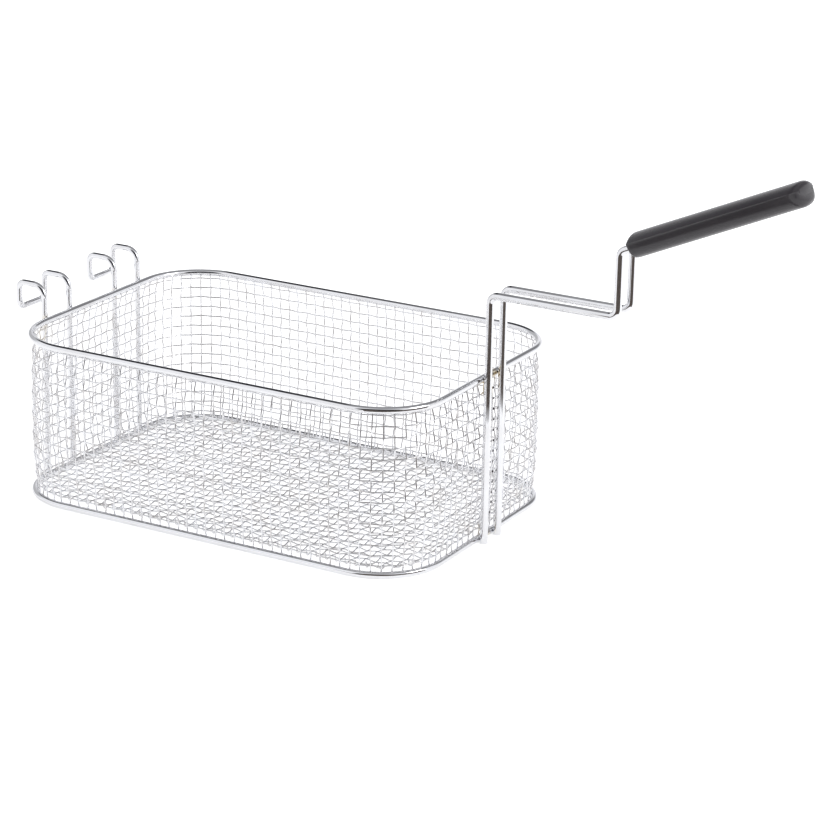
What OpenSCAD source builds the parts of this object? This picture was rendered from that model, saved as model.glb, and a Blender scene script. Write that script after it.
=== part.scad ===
// Deep fryer basket: a woven wire mesh basket welded into two bent wire rims,
// with two hanging hooks on one end and a cranked wire handle with a moulded grip on the other.
// The origin is on the surface the basket stands on, under the middle of the basket.
// +X runs towards the handle and +Z up.

/* [Basket] */
// Outer length of the rims, hook end to handle end
basket_l = 300; // [260:1:360]
// Outer width of the rims
basket_w = 205; // [200:1:260]
// Height from the underside of the bottom rim to the top of the top rim
basket_h = 110; // [80:1:150]
// Outer corner radius of the rims
corner_r = 44; // [24:1:46]
// Thickness of the rim wire
rim_wire = 4.5; // [4:0.1:5.5]

/* [Mesh] */
// Spacing of the mesh wires
mesh_pitch = 6.9; // [6:0.1:10]
// Thickness of the mesh wire
mesh_wire = 1; // [0.8:0.1:1.2]
// How far the middle of the wall cloth lies inside the middle of the rims
wall_inset = 0.3; // [0.1:0.1:0.6]
// Height of the lowest hoop wire above the bottom rim
first_hoop = 3; // [2.2:0.1:4]
// Gap between the floor cloth and the wires it is welded to
floor_gap = 0.1; // [0.05:0.05:0.4]
// Length of the lap where the two ends of the wall cloth meet
lap_l = 12; // [8:0.5:12.5]

/* [Hooks] */
// Thickness of the hook wire
hook_wire = 4; // [3:0.1:5]
// Distance between the middles of the two hooks
hook_spacing = 78; // [60:1:80]
// Distance between the two uprights of one hook
hook_w = 27; // [20:0.5:30]
// Height of the hook's top wire above the top rim
hook_rise = 20; // [16:0.5:40]
// Distance that the hook reaches out over the fryer's rail
hook_reach = 20; // [16:0.5:26]
// Drop from the hook's top wire to its cross bar
hook_drop = 17.5; // [12:0.5:30]
// Bend radius of the hook wire at the top of its uprights, on its centre line
hook_shoulder_r = 8; // [6:0.5:10]
// Bend radius of the hook wire at its tip and its cross bar, on its centre line
hook_bend_r = 4.5; // [3.5:0.5:5]

/* [Handle] */
// Thickness of the handle wire
handle_wire = 5; // [4:0.1:6]
// Distance between the two legs of the handle wire
handle_gap = 18; // [16:0.5:18.5]
// Height of the handle's level stretch above the top rim
handle_rise = 52; // [30:1:80]
// Length of the handle's level stretch
handle_reach = 85.5; // [50:0.5:140]
// Height from the level stretch to the bend below the grip
crank_h = 37; // [20:0.5:70]
// Slope of the grip above level, in degrees
grip_tilt = 24; // [0:1:40]
// Bend radius of the handle wire, on its centre line
handle_bend_r = 5.5; // [4:0.5:8]
// Length of the handle wire from its last bend to the end of its loop
tang_l = 100; // [60:1:110]

/* [Grip] */
// Length of the grip
grip_l = 117; // [114:1:150]
// Width of the grip
grip_w = 27; // [26:0.5:34]
// Height of the grip's crown above the middle of the wires in it
grip_crown_h = 7.8; // [6:0.1:10]
// Depth of the grip's underside below the middle of the wires in it
grip_belly_h = 7.3; // [6:0.1:10]
// Rise of the crown between the grip's two side ridges
grip_arch = 4.5; // [2:0.1:6]
// Rounding of the grip's lower edges
grip_belly_r = 6; // [3:0.5:6]
// Distance from the last bend of the wire to the grip's mouth
grip_start = 3; // [0.5:0.5:8]
// Bulge of the grip's outer end
grip_nose = 3; // [1:0.5:5]
// Rounding of the grip's corners seen from above
grip_corner_r = 3; // [1:0.5:6]
// Rounding of the crown and the underside into the grip's two ends
grip_end_r = 2.5; // [1:0.5:4]
// Gap between the handle wire and the grip moulded round it
grip_clear = 0.05; // [0.02:0.01:0.2]

/* [Hidden] */
$fn = 48;

plated = [0.80, 0.81, 0.83];
mesh_plated = [0.70, 0.71, 0.74];
black_plastic = [0.13, 0.13, 0.14];

// Centre line of the rims
rim_r = rim_wire / 2;
rim_x = basket_l / 2 - rim_r;
rim_y = basket_w / 2 - rim_r;
rim_bend = corner_r - rim_r;
top_rim_z = basket_h - rim_r;

// Wall cloth: the uprights lie inside the hoops, and stand between the two rims
mesh_r = mesh_wire / 2;
upright_inset = wall_inset + mesh_r;
hoop_inset = wall_inset - mesh_r;
wall_bottom = rim_wire;
wall_top = basket_h - rim_wire;
hoop_z0 = rim_wire + first_hoop;
hoop_count = floor((wall_top - mesh_wire - hoop_z0) / mesh_pitch) + 1;
upright_x = rim_x - upright_inset;
upright_y = rim_y - upright_inset;
upright_bend = rim_bend - upright_inset;
upright_path = 4 * (upright_x - upright_bend) + 4 * (upright_y - upright_bend)
    + 2 * PI * upright_bend;
upright_count = 2 * round(upright_path / mesh_pitch / 2);

// Floor cloth: the long wires rest on the bottom rim, and the cross wires on them
floor_inset = upright_inset + mesh_r + floor_gap;
floor_x = rim_x - floor_inset;
floor_y = rim_y - floor_inset;
floor_bend = rim_bend - floor_inset;
long_wire_z = rim_r + sqrt(rim_r * rim_r - floor_inset * floor_inset) + floor_gap + mesh_r;
cross_wire_z = long_wire_z + mesh_wire;
long_wire_gaps = floor((2 * floor_y - 2 * mesh_wire) / mesh_pitch);
cross_wire_gaps = floor((2 * floor_x - 2 * mesh_wire) / mesh_pitch);

// Hook and handle wires are welded to the outside of the rims
hook_x = -(basket_l + hook_wire) / 2;
hook_top_z = basket_h + hook_rise;
leg_x = (basket_l + handle_wire) / 2;
run_z = basket_h + handle_rise;
crank_x = leg_x + handle_reach;
crank_z = run_z + crank_h;
loop_r = handle_gap / 2;

// Inside the grip the wire is a hair thinner, and starts a little way back in the last bend
tang_step = 0.02;
tang_overlap = 0.25;

function unit(v) = v / norm(v);

// Turning angle between two directions, in degrees
function turn(u, v) = atan2(norm(cross(u, v)), u * v);

// Point at distance s along a rounded rectangle, from the middle of its +X side
function outline_point(s, x, y, r) =
    let (
        arc = PI * r / 2,
        side = y - r,
        end = 2 * (x - r),
        half = 2 * side + 2 * arc + end
    )
    s >= half ? -outline_point(s - half, x, y, r)
    : s < side ? [x, s]
    : s < side + arc ? [x - r, y - r] + r * [cos(deg(s - side, r)), sin(deg(s - side, r))]
    : s < side + arc + end ? [x - r - (s - side - arc), y]
    : s < side + 2 * arc + end
        ? [r - x, y - r] - r * [sin(deg(s - side - arc - end, r)), -cos(deg(s - side - arc - end, r))]
    : [-x, half - s];

// Angle of an arc of length s and radius r
function deg(s, r) = s / r * 180 / PI;

// Half-length of a wire inside a rounded rectangle, at a distance t from its centre line
function reach_at(t, x, y, r) =
    let (over = max(0, abs(t) + mesh_r - (y - r)))
    x - r + sqrt(r * r - over * over);

// Round wire lying level in a rounded rectangle, on its centre line
module wire_ring(x, y, r, wire) {
    for (side = [-1, 1]) {
        translate([r - x, side * y, 0]) rotate([0, 90, 0]) cylinder(h = 2 * (x - r), d = wire);
        translate([side * x, y - r, 0]) rotate([90, 0, 0]) cylinder(h = 2 * (y - r), d = wire);
    }
    for (corner = [0:3]) {
        sx = (corner == 0 || corner == 3) ? 1 : -1;
        sy = (corner < 2) ? 1 : -1;
        translate([sx * (x - r), sy * (y - r), 0]) rotate([0, 0, 90 * corner])
            rotate_extrude(angle = 90) translate([r, 0]) circle(d = wire);
    }
}

// Straight piece of wire from one point to another
module wire_straight(from, to, wire) {
    way = unit(to - from);
    translate(from) rotate([0, acos(way.z), atan2(way.y, way.x)])
        cylinder(h = norm(to - from), d = wire);
}

// Bend at a corner, coming in along u and leaving along v
module wire_bend(corner, u, v, bend_r, wire) {
    angle = turn(u, v);
    inward = unit(v - (u * v) * u);
    centre = corner - u * bend_r * tan(angle / 2) + inward * bend_r;
    side = cross(-inward, u);
    multmatrix([
        [-inward.x, u.x, side.x, centre.x],
        [-inward.y, u.y, side.y, centre.y],
        [-inward.z, u.z, side.z, centre.z],
        [0, 0, 0, 1]
    ]) rotate_extrude(angle = angle) translate([bend_r, 0]) circle(d = wire);
}

// Wire bent along a list of corners, with the radius of each bend
module bent_wire(points, radii, wire) {
    last = len(points) - 1;
    ways = [for (i = [0:last - 1]) unit(points[i + 1] - points[i])];
    // Length of each corner that its bend takes up
    cut = [for (i = [0:last])
        (i == 0 || i == last) ? 0 : radii[i - 1] * tan(turn(ways[i - 1], ways[i]) / 2)];
    for (i = [0:last - 1])
        wire_straight(points[i] + ways[i] * cut[i], points[i + 1] - ways[i] * cut[i + 1], wire);
    for (i = [1:last - 1])
        wire_bend(points[i], ways[i - 1], ways[i], radii[i - 1], wire);
}

module top_rim() {
    color(plated) translate([0, 0, top_rim_z]) wire_ring(rim_x, rim_y, rim_bend, rim_wire);
}

module bottom_rim() {
    color(plated) translate([0, 0, rim_r]) wire_ring(rim_x, rim_y, rim_bend, rim_wire);
}

// Uprights of the wall cloth, evenly spaced round the basket
module wall_upright_wires() {
    step = upright_path / upright_count;
    color(mesh_plated) for (i = [0:upright_count - 1]) {
        p = outline_point((i + 0.5) * step, upright_x, upright_y, upright_bend);
        translate([p.x, p.y, wall_bottom]) cylinder(h = wall_top - wall_bottom, d = mesh_wire);
    }
}

// Hoops of the wall cloth, one pitch apart
module wall_hoop_wires() {
    color(mesh_plated) for (i = [0:hoop_count - 1])
        translate([0, 0, hoop_z0 + i * mesh_pitch])
            wire_ring(rim_x - hoop_inset, rim_y - hoop_inset, rim_bend - hoop_inset, mesh_wire);
}

// Free end of the wall cloth, lapped over its start between the handle's legs
module wall_lap_wires() {
    lap_hoop_x = rim_x - hoop_inset + mesh_wire;
    color(mesh_plated) {
        for (i = [0:hoop_count - 1])
            translate([lap_hoop_x, lap_l / 2, hoop_z0 + i * mesh_pitch])
                rotate([90, 0, 0]) cylinder(h = lap_l, d = mesh_wire);
        for (side = [-1, 1])
            translate([lap_hoop_x + mesh_wire, side * mesh_pitch / 2, wall_bottom])
                cylinder(h = wall_top - wall_bottom, d = mesh_wire);
    }
}

module floor_long_wires() {
    color(mesh_plated) for (i = [0:long_wire_gaps]) {
        y = (i - long_wire_gaps / 2) * mesh_pitch;
        half = reach_at(y, floor_x, floor_y, floor_bend);
        translate([-half, y, long_wire_z]) rotate([0, 90, 0]) cylinder(h = 2 * half, d = mesh_wire);
    }
}

module floor_cross_wires() {
    color(mesh_plated) for (i = [0:cross_wire_gaps]) {
        x = (i - cross_wire_gaps / 2) * mesh_pitch;
        half = reach_at(x, floor_y, floor_x, floor_bend);
        translate([x, half, cross_wire_z]) rotate([90, 0, 0]) cylinder(h = 2 * half, d = mesh_wire);
    }
}

// One wire bent into two hooks side by side, joined by the bar across their tips
module hook(side) {
    near = side * (hook_spacing - hook_w) / 2;
    far = side * (hook_spacing + hook_w) / 2;
    tip_x = hook_x - hook_reach;
    bar_z = hook_top_z - hook_drop;
    color(plated) bent_wire([
        [hook_x, near, 0],
        [hook_x, near, hook_top_z],
        [tip_x, near, hook_top_z],
        [tip_x, near, bar_z],
        [tip_x, far, bar_z],
        [tip_x, far, hook_top_z],
        [hook_x, far, hook_top_z],
        [hook_x, far, 0]
    ], [
        hook_shoulder_r, hook_bend_r, hook_bend_r, hook_bend_r, hook_bend_r, hook_shoulder_r
    ], hook_wire);
}

module hook_left() {
    hook(-1);
}

module hook_right() {
    hook(1);
}

// Part of the handle wire inside the grip: two straight legs and the loop that joins them
module tang(start, wire) {
    straight_end = tang_l - loop_r - handle_wire / 2;
    for (side = [-1, 1])
        translate([start, side * loop_r, 0]) rotate([0, 90, 0])
            cylinder(h = straight_end - start, d = wire);
    translate([straight_end, 0, 0]) rotate([0, 0, -90])
        rotate_extrude(angle = 180) translate([loop_r, 0]) circle(d = wire);
}

// Places its children at the end of the wire's last bend, with +X along the grip
module at_grip() {
    translate([crank_x + handle_bend_r, 0, crank_z]) rotate([0, -grip_tilt, 0])
        translate([0, 0, handle_bend_r]) children();
}

// One wire from the foot of one leg, out and up to the grip, round in it and back down the other leg
module handle_wire() {
    corner_z = crank_z + handle_bend_r * tan(45 - grip_tilt / 2);
    color(plated) {
        for (side = [-1, 1]) translate([0, side * loop_r, 0]) {
            bent_wire([
                [leg_x, 0, 0],
                [leg_x, 0, run_z],
                [crank_x, 0, run_z],
                [crank_x, 0, crank_z]
            ], [handle_bend_r, handle_bend_r], handle_wire);
            wire_bend([crank_x, 0, corner_z], [0, 0, 1], [cos(grip_tilt), 0, sin(grip_tilt)],
                handle_bend_r, handle_wire);
        }
        at_grip() tang(-tang_overlap, handle_wire - tang_step);
    }
}

// Box from one corner to another with two or four of its corners rounded off
module rounded_box(low, high, r, top) {
    wide = high - low;
    translate([low.x, low.y + r]) square([wide.x, wide.y - (top ? 2 : 1) * r]);
    translate([low.x + r, low.y]) square([wide.x - 2 * r, top ? wide.y : wide.y - r]);
    for (x = [low.x + r, high.x - r]) {
        translate([x, low.y + r]) circle(r = r);
        if (top) translate([x, high.y - r]) circle(r = r);
    }
}

// Cross section of the grip: an arched crown between two side ridges, and a fuller belly
module grip_section() {
    arch_r = (grip_w * grip_w / 4 + grip_arch * grip_arch) / (2 * grip_arch);
    intersection() {
        translate([0, grip_crown_h - arch_r]) circle(r = arch_r, $fn = 160);
        rounded_box([-grip_w / 2, -grip_belly_h], [grip_w / 2, grip_crown_h + 1], grip_belly_r, false);
    }
}

// Outline of the grip seen from above, with its bulging outer end
module grip_plan() {
    nose_r = (grip_w * grip_w / 4 + grip_nose * grip_nose) / (2 * grip_nose);
    end = grip_start + grip_l;
    intersection() {
        rounded_box([grip_start, -grip_w / 2], [end, grip_w / 2], grip_corner_r, true);
        union() {
            translate([end - nose_r, 0]) circle(r = nose_r, $fn = 160);
            translate([0, -grip_w]) square([end - nose_r, 2 * grip_w]);
        }
    }
}

// Grip moulded round the loop of the handle wire
module grip() {
    end = grip_start + grip_l;
    color(black_plastic) at_grip() difference() {
        intersection() {
            rotate([90, 0, 90]) linear_extrude(height = end + 1) grip_section();
            translate([0, 0, -grip_belly_h - 1])
                linear_extrude(height = grip_belly_h + grip_crown_h + 2) grip_plan();
            translate([0, grip_w / 2 + 1, 0]) rotate([90, 0, 0])
                linear_extrude(height = grip_w + 2)
                    rounded_box([grip_start, -grip_belly_h], [end, grip_crown_h], grip_end_r, true);
        }
        tang(grip_start - 1, handle_wire + 2 * grip_clear);
    }
}

top_rim();
bottom_rim();
wall_upright_wires();
wall_hoop_wires();
wall_lap_wires();
floor_long_wires();
floor_cross_wires();
hook_left();
hook_right();
handle_wire();
grip();
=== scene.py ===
from math import atan2, ceil, cos, degrees, pi, radians, sin, sqrt, tan

import bpy
from mathutils import Matrix, Vector


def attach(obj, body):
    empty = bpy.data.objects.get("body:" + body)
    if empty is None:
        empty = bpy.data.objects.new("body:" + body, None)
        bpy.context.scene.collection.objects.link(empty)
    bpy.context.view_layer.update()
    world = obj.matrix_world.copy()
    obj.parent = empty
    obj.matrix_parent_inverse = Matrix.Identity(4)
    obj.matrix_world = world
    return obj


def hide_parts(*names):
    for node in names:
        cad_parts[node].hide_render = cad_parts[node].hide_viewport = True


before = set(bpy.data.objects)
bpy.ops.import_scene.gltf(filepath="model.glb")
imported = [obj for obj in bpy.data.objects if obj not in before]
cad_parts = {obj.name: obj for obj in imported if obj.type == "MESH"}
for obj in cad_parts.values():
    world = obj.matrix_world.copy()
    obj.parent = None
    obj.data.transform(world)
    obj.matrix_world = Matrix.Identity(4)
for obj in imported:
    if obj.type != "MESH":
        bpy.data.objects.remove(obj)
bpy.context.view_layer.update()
mm = 0.001

# Camera: a long lens at the photograph's place, above and to the right of the basket's near side.
camera_data = bpy.data.cameras.new("camera")
camera_data.lens, camera_data.sensor_width, camera_data.clip_end = 124.04, 36, 20
camera = bpy.data.objects.new("camera", camera_data)
bpy.context.scene.collection.objects.link(camera)
camera_place = (0.9234, -1.4788, 0.6502)
yaw, pitch, roll = radians(-29.28), radians(-18.78), radians(1.07)
look = Vector((sin(yaw) * cos(pitch), cos(yaw) * cos(pitch), sin(pitch)))
level = Vector((cos(yaw), -sin(yaw), 0))
rise = level.cross(look)
right = cos(roll) * level + sin(roll) * rise
top = -sin(roll) * level + cos(roll) * rise
camera_turn = Matrix((right, top, -look)).transposed().to_4x4()
camera.matrix_world = Matrix.Translation(camera_place) @ camera_turn
bpy.context.scene.camera = camera
bpy.context.scene.view_settings.view_transform = "Standard"

# Studio floor: a white floor that runs out into a white room.
# It glows a little towards the camera, so that it meets the white room without an edge,
# and in the metal's reflections, where it would look grey.
floor_size = 12
floor_white = (0.93, 0.93, 0.93, 1)
glow_to_camera, glow_in_metal = 0.66, 0.36
bpy.ops.object.select_all(action="DESELECT")
bpy.ops.mesh.primitive_plane_add(size=floor_size, location=(0, 0, 0))
floor = bpy.context.object
floor.name = "studio_floor"
paper = bpy.data.materials.new("white_paper")
paper.use_nodes = True
nodes, links = paper.node_tree.nodes, paper.node_tree.links
nodes.clear()
out = nodes.new("ShaderNodeOutputMaterial")
diffuse = nodes.new("ShaderNodeBsdfDiffuse")
diffuse.inputs["Color"].default_value = floor_white
glow = nodes.new("ShaderNodeEmission")
seen = nodes.new("ShaderNodeLightPath")
direct = nodes.new("ShaderNodeMath")
direct.operation = "MULTIPLY"
direct.inputs[1].default_value = glow_to_camera
amount = nodes.new("ShaderNodeMath")
amount.operation = "MULTIPLY_ADD"
amount.inputs[1].default_value = glow_in_metal
both = nodes.new("ShaderNodeAddShader")
links.new(seen.outputs["Is Camera Ray"], direct.inputs[0])
links.new(seen.outputs["Is Glossy Ray"], amount.inputs[0])
links.new(direct.outputs[0], amount.inputs[2])
links.new(amount.outputs[0], glow.inputs["Strength"])
links.new(diffuse.outputs[0], both.inputs[0])
links.new(glow.outputs[0], both.inputs[1])
links.new(both.outputs[0], out.inputs["Surface"])
floor.data.materials.append(paper)

# Studio cards: a dark card curves round the handle's legs, and a low wing of it stands before the hooks.
# Only the bright metal shows them. Their foot is as pale as the floor, so the dark band fades out on the legs.
card_x, card_y, card_r, card_h = 0.152, -0.009, 0.24, 0.16
card_from, card_to = -102, 4
wing_corners = ((-0.055, -0.389, 0), (0.110, -0.245, 0), (-0.055, -0.389, 0.036), (0.110, -0.245, 0.036))
card_dark, card_foot, foot_h = (0.140, 0.118, 0.105, 1), (0.95, 0.95, 0.95, 1), 0.012
bpy.ops.object.select_all(action="DESELECT")
bpy.ops.mesh.primitive_circle_add(vertices=90, radius=card_r, fill_type="NOTHING", location=(card_x, card_y, 0))
card = bpy.context.object
card.name = "studio_card"
bpy.ops.object.transform_apply(location=True, rotation=True, scale=True)
bpy.ops.object.mode_set(mode="EDIT")
bpy.ops.mesh.select_mode(type="VERT")
bpy.ops.mesh.select_all(action="DESELECT")
bpy.ops.object.mode_set(mode="OBJECT")
for vertex in card.data.vertices:
    angle = degrees(atan2(vertex.co.y - card_y, vertex.co.x - card_x))
    vertex.select = not card_from < angle < card_to
bpy.ops.object.mode_set(mode="EDIT")
bpy.ops.mesh.delete(type="VERT")
bpy.ops.mesh.select_all(action="SELECT")
bpy.ops.mesh.extrude_region_move(TRANSFORM_OT_translate={"value": (0, 0, card_h)})
bpy.ops.object.mode_set(mode="OBJECT")
bpy.ops.object.select_all(action="DESELECT")
bpy.ops.mesh.primitive_plane_add(size=1, location=(0, 0, 0))
wing = bpy.context.object
wing.name = "studio_card_wing"
for vertex, spot in zip(wing.data.vertices, wing_corners):
    vertex.co = spot
black = bpy.data.materials.new("black_card")
black.use_nodes = True
nodes, links = black.node_tree.nodes, black.node_tree.links
place = nodes.new("ShaderNodeTexCoord")
sides = nodes.new("ShaderNodeSeparateXYZ")
foot = nodes.new("ShaderNodeMapRange")
foot.inputs["From Max"].default_value = foot_h
tone = nodes.new("ShaderNodeMix")
tone.data_type = "RGBA"
tone.inputs["A"].default_value = card_foot
tone.inputs["B"].default_value = card_dark
links.new(place.outputs["Object"], sides.inputs["Vector"])
links.new(sides.outputs["Z"], foot.inputs["Value"])
links.new(foot.outputs[0], tone.inputs["Factor"])
links.new(tone.outputs["Result"], nodes["Principled BSDF"].inputs["Base Color"])
nodes["Principled BSDF"].inputs["Roughness"].default_value = 1.0
nodes["Principled BSDF"].inputs["Specular IOR Level"].default_value = 0.0
for piece in (card, wing):
    piece.data.materials.append(black)
    piece.visible_camera = piece.visible_diffuse = piece.visible_shadow = piece.visible_transmission = False

# Studio room: white to the camera. The metal sees dark patches overhead, behind the camera,
# beyond the basket and to its left, which the plated wire shows as thin dark lines.
room_white, room_dark = (0.92, 0.925, 0.95, 1), (0.0, 0.0, 0.005, 1)
room = bpy.data.worlds.new("studio_room")
bpy.context.scene.world = room
room.use_nodes = True
nodes, links = room.node_tree.nodes, room.node_tree.links
nodes.clear()
out = nodes.new("ShaderNodeOutputWorld")
back = nodes.new("ShaderNodeBackground")
place = nodes.new("ShaderNodeTexCoord")
dark = None
for spot, soft, full, tone in (
    ((-0.15, 0.35, 0.92), 0.66, 0.75, 0.97),
    ((0.40, -0.86, 0.32), 0.78, 0.86, 0.96),
    ((0.12, 0.80, 0.58), 0.86, 0.95, 0.75),
    ((-0.86, 0.43, 0.27), 0.84, 0.95, 0.45),
):
    toward = nodes.new("ShaderNodeVectorMath")
    toward.operation = "DOT_PRODUCT"
    toward.inputs[1].default_value = spot
    patch = nodes.new("ShaderNodeMapRange")
    patch.inputs["From Min"].default_value = soft
    patch.inputs["From Max"].default_value = full
    patch.inputs["To Max"].default_value = tone
    links.new(place.outputs["Generated"], toward.inputs[0])
    links.new(toward.outputs["Value"], patch.inputs["Value"])
    if dark is None:
        # The first patch thins out towards the right, where the crank's upper line is only grey
        sides = nodes.new("ShaderNodeSeparateXYZ")
        fade = nodes.new("ShaderNodeMapRange")
        fade.inputs["From Min"].default_value = -0.50
        fade.inputs["From Max"].default_value = -0.42
        fade.inputs["To Min"].default_value = 1.0
        fade.inputs["To Max"].default_value = 0.70
        thinned = nodes.new("ShaderNodeMath")
        thinned.operation = "MULTIPLY"
        links.new(place.outputs["Generated"], sides.inputs["Vector"])
        links.new(sides.outputs["X"], fade.inputs["Value"])
        links.new(patch.outputs[0], thinned.inputs[0])
        links.new(fade.outputs[0], thinned.inputs[1])
        dark = thinned.outputs[0]
    else:
        darkest = nodes.new("ShaderNodeMath")
        darkest.operation = "MAXIMUM"
        links.new(dark, darkest.inputs[0])
        links.new(patch.outputs[0], darkest.inputs[1])
        dark = darkest.outputs[0]
shade = nodes.new("ShaderNodeMix")
shade.data_type = "RGBA"
shade.inputs["A"].default_value = room_white
shade.inputs["B"].default_value = room_dark
seen = nodes.new("ShaderNodeLightPath")
plain = nodes.new("ShaderNodeMix")
plain.data_type = "RGBA"
plain.inputs["B"].default_value = (1, 1, 1, 1)
links.new(dark, shade.inputs["Factor"])
links.new(shade.outputs["Result"], plain.inputs["A"])
links.new(seen.outputs["Is Camera Ray"], plain.inputs["Factor"])
links.new(plain.outputs["Result"], back.inputs["Color"])
links.new(back.outputs[0], out.inputs["Surface"])

# Studio lamps: soft lamps above and to the right. The metal doesn't show the upper one.
for name, spot, size, power, in_metal in (
    ("lamp_over", (-0.3, 0.9, 1.9), 1.2, 12, False),
    ("lamp_right", (1.9, 0.2, 1.3), 1.0, 10, True),
):
    lamp_data = bpy.data.lights.new(name, "AREA")
    lamp_data.size = size
    lamp_data.energy = power
    lamp = bpy.data.objects.new(name, lamp_data)
    bpy.context.scene.collection.objects.link(lamp)
    way = Vector((0, 0, 0.08)) - Vector(spot)
    lamp.visible_glossy = in_metal
    lamp.matrix_world = Matrix.Translation(spot) @ way.to_track_quat("-Z", "Y").to_matrix().to_4x4()


# Rims: two heavy wires, each bent to a rounded rectangle, butt welded and plated bright.
# The upper one stiffens the mouth of the basket, and the basket stands on the lower one.
rim_wire = 4.5 * mm
rim_x, rim_y, rim_bend = 147.75 * mm, 100.25 * mm, 41.75 * mm


def draw_wire(name, thick, corners, bends, closed=False, sides=24, steps=10):
    """Draws a round wire along its corners: lengths are extruded, and bends are spun to their radius."""
    corners = [Vector(c) for c in corners]
    count = len(corners)
    ways = [(corners[(i + 1) % count] - corners[i]).normalized() for i in range(count)]
    start = (corners[0] + corners[1]) / 2 if closed else corners[0]
    bpy.ops.object.select_all(action="DESELECT")
    bpy.ops.mesh.primitive_circle_add(
        vertices=sides, radius=thick / 2, fill_type="NOTHING", location=start,
        rotation=ways[0].to_track_quat("Z", "Y").to_euler())
    piece = bpy.context.object
    piece.name = name
    bpy.ops.object.transform_apply(location=True, rotation=True, scale=True)
    bpy.ops.object.mode_set(mode="EDIT")
    bpy.ops.mesh.select_all(action="SELECT")
    at = start
    # A narrow ring of faces beside each bend and cut end keeps the long faces' shading straight
    hold = thick * 0.12
    if not closed:
        bpy.ops.mesh.extrude_region_move(TRANSFORM_OT_translate={"value": ways[0] * hold})
        at = start + ways[0] * hold
    turns = range(1, count + 1) if closed else range(1, count - 1)
    for i in turns:
        corner, u, v, bend_r = corners[i % count], ways[(i - 1) % count], ways[i % count], bends[i - 1]
        angle = u.angle(v)
        inward = (v - v.dot(u) * u).normalized()
        begin = corner - u * bend_r * tan(angle / 2)
        bpy.ops.mesh.extrude_region_move(TRANSFORM_OT_translate={"value": begin - u * hold - at})
        bpy.ops.mesh.extrude_region_move(TRANSFORM_OT_translate={"value": u * hold})
        bpy.ops.mesh.spin(
            steps=max(3, ceil(steps * angle / (pi / 2))), angle=angle, use_auto_merge=False,
            center=begin + inward * bend_r, axis=inward.cross(u))
        bpy.ops.mesh.extrude_region_move(TRANSFORM_OT_translate={"value": v * hold})
        at = corner + v * (bend_r * tan(angle / 2) + hold)
    end = start if closed else corners[-1] - ways[-2] * hold
    bpy.ops.mesh.extrude_region_move(TRANSFORM_OT_translate={"value": end - at})
    if closed:
        bpy.ops.mesh.select_all(action="SELECT")
        bpy.ops.mesh.remove_doubles(threshold=0.01 * mm)
    else:
        bpy.ops.mesh.extrude_region_move(TRANSFORM_OT_translate={"value": ways[-2] * hold})
        # Both cut ends are closed, with their sharp edge taken off
        bpy.ops.mesh.select_all(action="DESELECT")
        bpy.ops.mesh.select_mode(type="EDGE")
        bpy.ops.mesh.select_non_manifold()
        bpy.ops.mesh.edge_face_add()
        bpy.ops.mesh.bevel(offset=thick * 0.08, segments=2, affect="EDGES")
    bpy.ops.mesh.select_all(action="SELECT")
    bpy.ops.mesh.normals_make_consistent(inside=False)
    bpy.ops.object.mode_set(mode="OBJECT")
    bpy.ops.object.shade_smooth_by_angle(angle=radians(40))
    return piece


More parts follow.
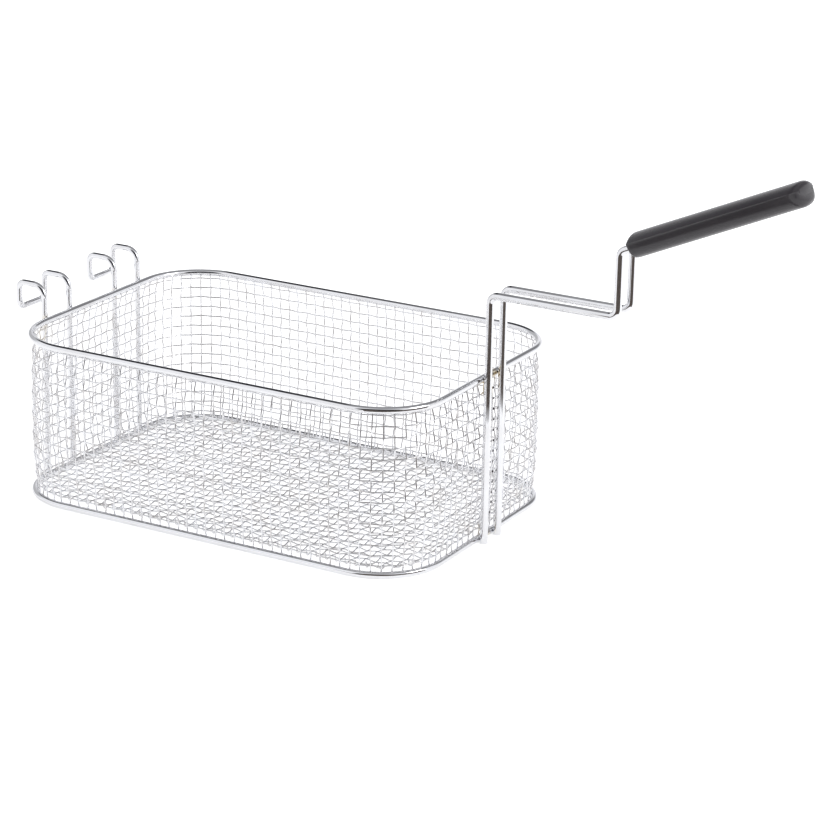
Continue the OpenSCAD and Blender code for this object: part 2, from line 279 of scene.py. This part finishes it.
def plating_marks():
    """Group for bright plating: soft stains, and the brown and blue of a weld's heat."""
    group = bpy.data.node_groups.new("plating_marks", "ShaderNodeTree")
    for name, value in (("Stain Scale", 60.0), ("Stain", 0.25), ("Heat", 0.0)):
        socket = group.interface.new_socket(name, in_out="INPUT", socket_type="NodeSocketFloat")
        socket.default_value = value
    group.interface.new_socket("Colour", in_out="OUTPUT", socket_type="NodeSocketColor")
    group.interface.new_socket("Roughness", in_out="OUTPUT", socket_type="NodeSocketFloat")
    nodes, links = group.nodes, group.links
    given = nodes.new("NodeGroupInput")
    result = nodes.new("NodeGroupOutput")
    place = nodes.new("ShaderNodeTexCoord")
    cloud = nodes.new("ShaderNodeTexNoise")
    cloud.inputs["Detail"].default_value = 4
    links.new(place.outputs["Object"], cloud.inputs["Vector"])
    links.new(given.outputs["Stain Scale"], cloud.inputs["Scale"])
    spread = nodes.new("ShaderNodeMapRange")
    spread.inputs["From Min"].default_value = 0.42
    spread.inputs["From Max"].default_value = 0.72
    links.new(cloud.outputs["Fac"], spread.inputs["Value"])
    much = nodes.new("ShaderNodeMath")
    much.operation = "MULTIPLY"
    links.new(spread.outputs[0], much.inputs[0])
    links.new(given.outputs["Stain"], much.inputs[1])
    stained = nodes.new("ShaderNodeMix")
    stained.data_type = "RGBA"
    stained.inputs["A"].default_value = (0.90, 0.905, 0.925, 1)
    stained.inputs["B"].default_value = (0.68, 0.65, 0.63, 1)
    links.new(much.outputs[0], stained.inputs["Factor"])
    tint = nodes.new("ShaderNodeValToRGB")
    tint.color_ramp.elements[0].position = 0.0
    tint.color_ramp.elements[0].color = (1, 1, 1, 1)
    tint.color_ramp.elements[1].position = 1.0
    tint.color_ramp.elements[1].color = (0.035, 0.035, 0.05, 1)
    straw, brown, purple = (0.80, 0.68, 0.45, 1), (0.42, 0.24, 0.13, 1), (0.17, 0.11, 0.10, 1)
    for spot, colour in ((0.35, straw), (0.65, brown), (0.82, purple)):
        tint.color_ramp.elements.new(spot).color = colour
    links.new(given.outputs["Heat"], tint.inputs["Fac"])
    heated = nodes.new("ShaderNodeMix")
    heated.data_type = "RGBA"
    heated.blend_type = "MULTIPLY"
    heated.inputs["Factor"].default_value = 1.0
    links.new(stained.outputs["Result"], heated.inputs["A"])
    links.new(tint.outputs["Color"], heated.inputs["B"])
    links.new(heated.outputs["Result"], result.inputs["Colour"])
    rough = nodes.new("ShaderNodeMapRange")
    rough.inputs["From Max"].default_value = 1.0
    rough.inputs["To Min"].default_value = 0.05
    rough.inputs["To Max"].default_value = 0.20
    links.new(much.outputs[0], rough.inputs["Value"])
    links.new(rough.outputs[0], result.inputs["Roughness"])
    return group


def heat_spots():
    """Group for the places near welds: how close a point is to one spot, from 0 to 1, broken up by noise."""
    group = bpy.data.node_groups.new("heat_spots", "ShaderNodeTree")
    for name, kind in (("Spot", "NodeSocketVector"), ("Reach", "NodeSocketFloat"), ("Most", "NodeSocketFloat")):
        group.interface.new_socket(name, in_out="INPUT", socket_type=kind)
    group.interface.new_socket("Heat", in_out="OUTPUT", socket_type="NodeSocketFloat")
    nodes, links = group.nodes, group.links
    given = nodes.new("NodeGroupInput")
    result = nodes.new("NodeGroupOutput")
    place = nodes.new("ShaderNodeTexCoord")
    apart = nodes.new("ShaderNodeVectorMath")
    apart.operation = "DISTANCE"
    links.new(place.outputs["Object"], apart.inputs[0])
    links.new(given.outputs["Spot"], apart.inputs[1])
    cloud = nodes.new("ShaderNodeTexNoise")
    cloud.inputs["Scale"].default_value = 220
    links.new(place.outputs["Object"], cloud.inputs["Vector"])
    ragged = nodes.new("ShaderNodeMath")
    ragged.operation = "MULTIPLY_ADD"
    ragged.inputs[1].default_value = 0.006
    links.new(cloud.outputs["Fac"], ragged.inputs[0])
    links.new(apart.outputs["Value"], ragged.inputs[2])
    near = nodes.new("ShaderNodeMapRange")
    near.inputs["From Min"].default_value = 0.0
    near.inputs["To Max"].default_value = 0.0
    links.new(ragged.outputs[0], near.inputs["Value"])
    links.new(given.outputs["Reach"], near.inputs["From Max"])
    links.new(given.outputs["Most"], near.inputs["To Min"])
    links.new(near.outputs[0], result.inputs["Heat"])
    return group


marks_group = plating_marks()
spots_group = heat_spots()


def bright_plating(name, stain, stain_scale, spots):
    """Bright chrome on drawn wire, with heat tints round the given spots."""
    material = bpy.data.materials.new(name)
    material.use_nodes = True
    nodes, links = material.node_tree.nodes, material.node_tree.links
    shader = nodes["Principled BSDF"]
    shader.inputs["Metallic"].default_value = 1.0
    marks = nodes.new("ShaderNodeGroup")
    marks.node_tree = marks_group
    marks.inputs["Stain"].default_value = stain
    marks.inputs["Stain Scale"].default_value = stain_scale
    last = None
    for spot, reach, most_heat in spots:
        heat = nodes.new("ShaderNodeGroup")
        heat.node_tree = spots_group
        heat.inputs["Spot"].default_value = [v * mm for v in spot]
        heat.inputs["Reach"].default_value = reach * mm
        heat.inputs["Most"].default_value = most_heat
        if last is None:
            last = heat.outputs["Heat"]
        else:
            most = nodes.new("ShaderNodeMath")
            most.operation = "MAXIMUM"
            links.new(last, most.inputs[0])
            links.new(heat.outputs["Heat"], most.inputs[1])
            last = most.outputs[0]
    if last is not None:
        links.new(last, marks.inputs["Heat"])
    links.new(marks.outputs["Colour"], shader.inputs["Base Color"])
    links.new(marks.outputs["Roughness"], shader.inputs["Roughness"])
    return material


rim_spots = [((147.5, 1, 107), 11, 0.75), ((147.5, 0, 2), 9, 0.6)]
rim_plating = bright_plating("rim_plating", 0.25, 45, rim_spots)
for name, node, height in (("rim_upper", "top_rim", 107.75 * mm), ("rim_lower", "bottom_rim", 2.25 * mm)):
    rim = draw_wire(name, rim_wire, [
        (-rim_x, -rim_y, height), (rim_x, -rim_y, height), (rim_x, rim_y, height), (-rim_x, rim_y, height)
    ], [rim_bend] * 4, closed=True, steps=28)
    rim.data.materials.append(rim_plating)
    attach(rim, "root")
    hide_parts(node)


# Wall cloth: a strip of plain weave in 1 mm crimped wire, bent round the basket and welded inside the rims.
# Each wire passes over one crossing wire and under the next, and the cloth draws in towards both rims.
mesh_wire = 1.0 * mm
mesh_pitch = 6.9 * mm
crimp = 0.5 * mm
hoop_first = 7.5 * mm
hoop_count = 15
wall_low, wall_high, wall_last_hoop = 3.2 * mm, 107.3 * mm, 104.1 * mm
wall_marks = [(3.2, 2.3), (8, 1.9), (14, 1.0), (22, 0.2), (36, -0.25), (60, -0.35), (82, 0.0), (96, 0.6),
              (103, 1.3), (107.4, 2.5)]


def wall_inset(z):
    """How far the middle of the cloth lies inside the middle of the rims, at a height."""
    z /= mm
    if z <= wall_marks[0][0]:
        return wall_marks[0][1] * mm
    for (z0, d0), (z1, d1) in zip(wall_marks, wall_marks[1:]):
        if z <= z1:
            t = (z - z0) / (z1 - z0)
            t = t * t * (3 - 2 * t) * 0.5 + t * 0.5
            return (d0 + (d1 - d0) * t) * mm
    return wall_marks[-1][1] * mm


def outline(s, x, y, r):
    """Place and outward direction at distance s along a rounded rectangle, from the middle of its +X side."""
    side, arc, end = y - r, pi * r / 2, 2 * (x - r)
    half = 2 * side + 2 * arc + end
    s %= 2 * half
    if s >= half:
        spot, away = outline(s - half, x, y, r)
        return -spot, -away
    if s < side:
        return Vector((x, s, 0)), Vector((1, 0, 0))
    if s < side + arc:
        away = Vector((cos((s - side) / r), sin((s - side) / r), 0))
        return Vector((x - r, y - r, 0)) + r * away, away
    if s < side + arc + end:
        return Vector((x - r - (s - side - arc), y, 0)), Vector((0, 1, 0))
    if s < side + 2 * arc + end:
        turned = (s - side - arc - end) / r
        away = Vector((-sin(turned), cos(turned), 0))
        return Vector((r - x, y - r, 0)) + r * away, away
    return Vector((-x, half - s, 0)), Vector((-1, 0, 0))


def wire_cloth(name, wires, closed, sides=8):
    """Lays many thin wires along their points, and makes them one mesh."""
    drawn = bpy.data.curves.new(name, "CURVE")
    drawn.dimensions = "3D"
    drawn.bevel_depth = mesh_wire / 2
    drawn.bevel_resolution = sides // 2 - 2
    drawn.use_fill_caps = True
    for points in wires:
        line = drawn.splines.new("POLY")
        line.points.add(len(points) - 1)
        for point, place in zip(line.points, points):
            point.co = (*place, 1)
        line.use_cyclic_u = closed
    piece = bpy.data.objects.new(name, drawn)
    bpy.context.scene.collection.objects.link(piece)
    bpy.ops.object.select_all(action="DESELECT")
    piece.select_set(True)
    bpy.context.view_layer.objects.active = piece
    bpy.ops.object.convert(target="MESH")
    piece = bpy.context.object
    bpy.ops.object.shade_smooth_by_angle(angle=radians(50))
    return piece


cloth_in = 0.3 * mm
mid_x, mid_y, mid_r = rim_x - cloth_in, rim_y - cloth_in, rim_bend - cloth_in
mid_path = 4 * (mid_x - mid_r) + 4 * (mid_y - mid_r) + 2 * pi * mid_r
upright_count = 132
upright_step = mid_path / upright_count
cloth_spots = [((149, 0, 103), 15, 0.80), ((-146, -64, 98), 18, 0.22), ((-143, -78, 92), 12, 0.20),
               ((148, 0, 4), 10, 0.4)]
cloth_plating = bright_plating("cloth_plating", 0.8, 90, cloth_spots)

uprights = []
for i in range(upright_count):
    spot, away = outline((i + 0.5) * upright_step, mid_x, mid_y, mid_r)
    points = []
    z = wall_low
    while z < wall_high:
        wave = cos(pi * (z - hoop_first) / mesh_pitch) * (1 if i % 2 else -1)
        if z < hoop_first - mesh_pitch / 2 or z > wall_last_hoop + mesh_pitch / 4:
            wave *= 0.4
        place = spot + away * (cloth_in - wall_inset(z) + crimp * wave)
        points.append((place.x, place.y, z))
        z += mesh_pitch / 4
    uprights.append(points)
wall_uprights = wire_cloth("wall_uprights", uprights, False)

hoops = []
for k in range(hoop_count):
    z = hoop_first + k * mesh_pitch
    points = []
    for j in range(upright_count * 4):
        s = (j / 4 + 0.5) * upright_step
        spot, away = outline(s, mid_x, mid_y, mid_r)
        wave = cos(pi * j / 4) * (1 if k % 2 else -1)
        place = spot + away * (cloth_in - wall_inset(z) + crimp * wave)
        points.append((place.x, place.y, z))
    hoops.append(points)
wall_hoops = wire_cloth("wall_hoops", hoops, True)
for piece, node in ((wall_uprights, "wall_upright_wires"), (wall_hoops, "wall_hoop_wires")):
    piece.data.materials.append(cloth_plating)
    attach(piece, "root")
    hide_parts(node)


# Lap: the strip's free end, laid over its start between the handle's legs and spot welded through.
# It doubles the cloth there, half a pitch out of step, and each weld at its edge is a small scorched nub.
lap = []
for k in range(hoop_count):
    z = hoop_first + k * mesh_pitch + 1.0 * mm
    over = mid_x + cloth_in - wall_inset(z) + mesh_wire * 1.15
    lap.append([(over + crimp * 0.3 * cos(y * 3), y * mm, z) for y in range(-6, 7)])
for side in (-1, 1):
    points = []
    z = 4.6 * mm
    while z < 106 * mm:
        wave = cos(pi * (z - hoop_first) / mesh_pitch) * side * 0.3
        over = mid_x + cloth_in - wall_inset(z) + mesh_wire * 1.7
        points.append((over + crimp * wave * 0.6, side * mesh_pitch * 0.5, z))
        z += mesh_pitch / 4
    lap.append(points)
wall_lap = wire_cloth("wall_lap", lap, False)
wall_lap.data.materials.append(cloth_plating)
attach(wall_lap, "root")
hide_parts("wall_lap_wires")

scorched = bright_plating("scorched_welds", 0.6, 300, [])
scorched.node_tree.nodes["Principled BSDF"].inputs["Metallic"].default_value = 0.8
scorched.node_tree.nodes["Group"].inputs["Heat"].default_value = 0.97
bpy.ops.object.select_all(action="DESELECT")
bpy.ops.mesh.primitive_uv_sphere_add(segments=12, ring_count=8, radius=0.85 * mm, location=(0, 0, 0))
nub = bpy.context.object
nub.name = "lap_weld"
bpy.ops.object.shade_smooth()
for k in range(hoop_count):
    z = hoop_first + (k + 0.14) * mesh_pitch
    weld = nub.copy()
    weld.data = nub.data.copy()
    weld.name = f"lap_weld_{k + 1}"
    bpy.context.scene.collection.objects.link(weld)
    swing = (5.3 + 0.4 * (k % 3 - 1)) * mm
    centre = Matrix.Translation((mid_x + cloth_in - wall_inset(z) + mesh_wire * 1.6, swing, z))
    weld.data.transform(centre @ Matrix.Diagonal((0.7, 1.0 + 0.2 * (k % 2), 0.9, 1)))
    weld.data.materials.append(scorched)
    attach(weld, "root")
bpy.data.objects.remove(nub)


# Floor cloth: a flat panel of the same weave, laid on the lower rim with its edge turned up inside the wall.
floor_mid = 5.1 * mm
turn_inset = 4.0 * mm
lip_h = 4.0 * mm


def floor_wire(t, x, y, r, along_x, phase):
    """One wire of the floor, flat and crimped between its two turned-up ends."""
    over = max(0.0, abs(t) - (y - r))
    half = x - r + sqrt(r * r - over * over)
    count = int(half / (mesh_pitch / 4))
    points = []
    for j in range(-count, count + 1):
        u = j * mesh_pitch / 4
        points.append((u, floor_mid + crimp * cos(pi * u / mesh_pitch + phase)))
    lip = [(half - 0.9 * mm, floor_mid + 0.1 * mm), (half - 0.2 * mm, floor_mid + 0.6 * mm),
           (half, floor_mid + 1.4 * mm), (half + 0.1 * mm, floor_mid + lip_h)]
    points = [p for p in points if abs(p[0]) < half - 1.2 * mm]
    points = [(-a, b) for a, b in reversed(lip)] + points + lip
    return [((u, t, z) if along_x else (t, u, z)) for u, z in points]


floor_x, floor_y, floor_r = rim_x - turn_inset, rim_y - turn_inset, rim_bend - turn_inset
long_gaps, cross_gaps = 28, 42
long_wires = [floor_wire((i - long_gaps / 2) * mesh_pitch, floor_x, floor_y, floor_r, True, pi * i)
              for i in range(long_gaps + 1) if abs(i - long_gaps / 2) * mesh_pitch < floor_y - 0.5 * mm]
cross_wires = [floor_wire((i - cross_gaps / 2) * mesh_pitch, floor_y, floor_x, floor_r, False, pi * (i + 1))
               for i in range(cross_gaps + 1) if abs(i - cross_gaps / 2) * mesh_pitch < floor_x - 0.5 * mm]
floor_long = wire_cloth("floor_long", long_wires, False)
floor_cross = wire_cloth("floor_cross", cross_wires, False)
for piece, node in ((floor_long, "floor_long_wires"), (floor_cross, "floor_cross_wires")):
    piece.data.materials.append(cloth_plating)
    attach(piece, "root")
    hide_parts(node)


# Hooks: one 4 mm wire each, bent into two hooks side by side and welded to both rims at the far end.
# The cross bar joins the tips, so that the basket can hang from the fryer's rail to drain.
hook_wire = 4.0 * mm
hook_x, hook_tip, hook_top, hook_bar = -152 * mm, -172 * mm, 130 * mm, 112.5 * mm
hook_shoulder, hook_bend = 8.0 * mm, 4.5 * mm
hook_spots = [((-151, -52.5, 106), 9, 0.4), ((-151, 25.5, 106), 8, 0.3)]
hook_plating = bright_plating("hook_plating", 0.30, 60, hook_spots)
for side, name, node in ((-1, "hook_near", "hook_left"), (1, "hook_far", "hook_right")):
    inner, outer = side * 25.5 * mm, side * 52.5 * mm
    hook = draw_wire(name, hook_wire, [
        (hook_x, inner, 0), (hook_x, inner, hook_top), (hook_tip, inner, hook_top), (hook_tip, inner, hook_bar),
        (hook_tip, outer, hook_bar), (hook_tip, outer, hook_top), (hook_x, outer, hook_top), (hook_x, outer, 0)
    ], [hook_shoulder, hook_bend, hook_bend, hook_bend, hook_bend, hook_shoulder])
    hook.data.materials.append(hook_plating)
    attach(hook, "root")
    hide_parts(node)


# Handle wire: one 5 mm wire, up both legs, out, up again and back round inside the grip.
# Both legs are welded to the rims, and the plating is browned where the weld's heat ran.
handle_wire = 5.0 * mm
handle_y, leg_x, run_z, crank_x, crank_z = 9 * mm, 152.5 * mm, 162 * mm, 238 * mm, 199 * mm
handle_bend = 5.5 * mm
tilt = radians(24)
along = Vector((cos(tilt), 0, sin(tilt)))
tang = along * 88 * mm
bend_reach = handle_bend * tan(pi / 4 - tilt / 2)
corner = Vector((crank_x, 0, crank_z + bend_reach))
mouth = corner + along * bend_reach
tang_end = mouth + tang
handle_spots = [((150.5, -7.5, 107), 6, 0.6), ((150.5, 7.5, 107), 6, 0.7)]
handle_plating = bright_plating("handle_plating", 0.25, 60, handle_spots)
sideways = Vector((0, handle_y, 0))
handle = draw_wire("handle_wire", handle_wire, [
    (leg_x, -handle_y, 0), (leg_x, -handle_y, run_z), (crank_x, -handle_y, run_z), corner - sideways,
    tang_end - sideways, tang_end + sideways, corner + sideways, (crank_x, handle_y, run_z),
    (leg_x, handle_y, run_z), (leg_x, handle_y, 0)
], [handle_bend] * 8)
handle.data.materials.append(handle_plating)
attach(handle, "root")
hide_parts("handle_wire")


# Grip: black thermoplastic moulded round the wire's loop, with an arched crown between two side ridges,
# a fuller belly, blunt rounded ends and the fine matt grain of the mould.
grip_w, grip_crown, grip_belly, grip_arch = 27 * mm, 7.8 * mm, 7.3 * mm, 4.5 * mm
grip_start, grip_l, grip_nose, grip_sides = 3 * mm, 117 * mm, 3 * mm, 96


def grip_ring(margin):
    """Outline of the grip's section, shrunk by a margin, from one side ridge over the crown and back below."""
    half = grip_w / 2 - margin
    ridge = grip_crown - grip_arch
    points = []
    for k in range(grip_sides):
        a = 2 * pi * k / grip_sides
        c, s = cos(a), sin(a)
        way = 1 if c >= 0 else -1
        if s >= 0:
            y = half * c
            z = ridge + (grip_arch - margin * 0.8) * s ** 1.8
        else:
            y = half * way * abs(c) ** 0.72
            z = ridge - (ridge + grip_belly - margin) * abs(s) ** 0.80
        bead = 0.45 * mm * max(0.0, 1 - abs(degrees(atan2(s, abs(c))) - 3) / 9)
        points.append((y + bead * way, z + bead * 0.6))
    return points


upright_axis = Vector((-sin(tilt), 0, cos(tilt)))
stations = [(grip_start + 2.5 * mm * (1 - sin(radians(a))), 2.4 * mm * (1 - cos(radians(a))), 0.0)
            for a in range(90, -1, -15)]
stations += [(grip_start + grip_l * t, 0.0, t ** 6)
             for t in (0.1, 0.3, 0.5, 0.6, 0.7, 0.76, 0.82, 0.87, 0.91, 0.94)]
stations += [(grip_start + grip_l - 4.5 * mm * (1 - sin(radians(a))), 4.0 * mm * (1 - cos(radians(a))), 1.0)
             for a in range(0, 91, 10)]
bpy.ops.object.select_all(action="DESELECT")
bpy.ops.mesh.primitive_circle_add(
    vertices=grip_sides, radius=grip_w / 2, fill_type="NOTHING", location=(0, 0, 0))
grip = bpy.context.object
grip.name = "grip_cover"
bpy.ops.object.mode_set(mode="EDIT")
for number, (x, margin, nose) in enumerate(stations):
    if number:
        bpy.ops.mesh.extrude_region_move(TRANSFORM_OT_translate={"value": (0, 0, 0)})
    bpy.ops.object.mode_set(mode="OBJECT")
    ring = [v for v in grip.data.vertices if v.select][-grip_sides:]
    for vertex, (y, z) in zip(ring, grip_ring(margin)):
        bulge = -grip_nose * nose * (y / (grip_w / 2)) ** 2
        vertex.co = mouth + along * (x + bulge) + Vector((0, y, 0)) + upright_axis * z
    bpy.ops.object.mode_set(mode="EDIT")
bpy.ops.mesh.select_all(action="DESELECT")
bpy.ops.mesh.select_mode(type="EDGE")
bpy.ops.mesh.select_non_manifold()
bpy.ops.mesh.edge_face_add()
bpy.ops.mesh.inset(thickness=1.5 * mm, use_individual=True)
bpy.ops.mesh.select_all(action="SELECT")
bpy.ops.mesh.normals_make_consistent(inside=False)
bpy.ops.object.mode_set(mode="OBJECT")
bpy.ops.object.shade_smooth_by_angle(angle=radians(50))

moulded = bpy.data.materials.new("moulded_black")
moulded.use_nodes = True
nodes, links = moulded.node_tree.nodes, moulded.node_tree.links
shader = nodes["Principled BSDF"]
place = nodes.new("ShaderNodeTexCoord")
grain = nodes.new("ShaderNodeTexNoise")
grain.inputs["Scale"].default_value = 1400
grain.inputs["Detail"].default_value = 2
bump = nodes.new("ShaderNodeBump")
bump.inputs["Strength"].default_value = 0.35
bump.inputs["Distance"].default_value = 0.00012
worn = nodes.new("ShaderNodeTexNoise")
worn.inputs["Scale"].default_value = 35
worn.inputs["Detail"].default_value = 5
gloss = nodes.new("ShaderNodeMapRange")
gloss.inputs["To Min"].default_value = 0.17
gloss.inputs["To Max"].default_value = 0.28
tone = nodes.new("ShaderNodeMix")
tone.data_type = "RGBA"
tone.inputs["A"].default_value = (0.044, 0.040, 0.045, 1)
tone.inputs["B"].default_value = (0.062, 0.057, 0.063, 1)
links.new(place.outputs["Object"], grain.inputs["Vector"])
links.new(place.outputs["Object"], worn.inputs["Vector"])
links.new(grain.outputs["Fac"], bump.inputs["Height"])
links.new(bump.outputs["Normal"], shader.inputs["Normal"])
links.new(worn.outputs["Fac"], gloss.inputs["Value"])
links.new(gloss.outputs[0], shader.inputs["Roughness"])
links.new(worn.outputs["Fac"], tone.inputs["Factor"])
links.new(tone.outputs["Result"], shader.inputs["Base Color"])
grip.data.materials.append(moulded)
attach(grip, "root")
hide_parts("grip")
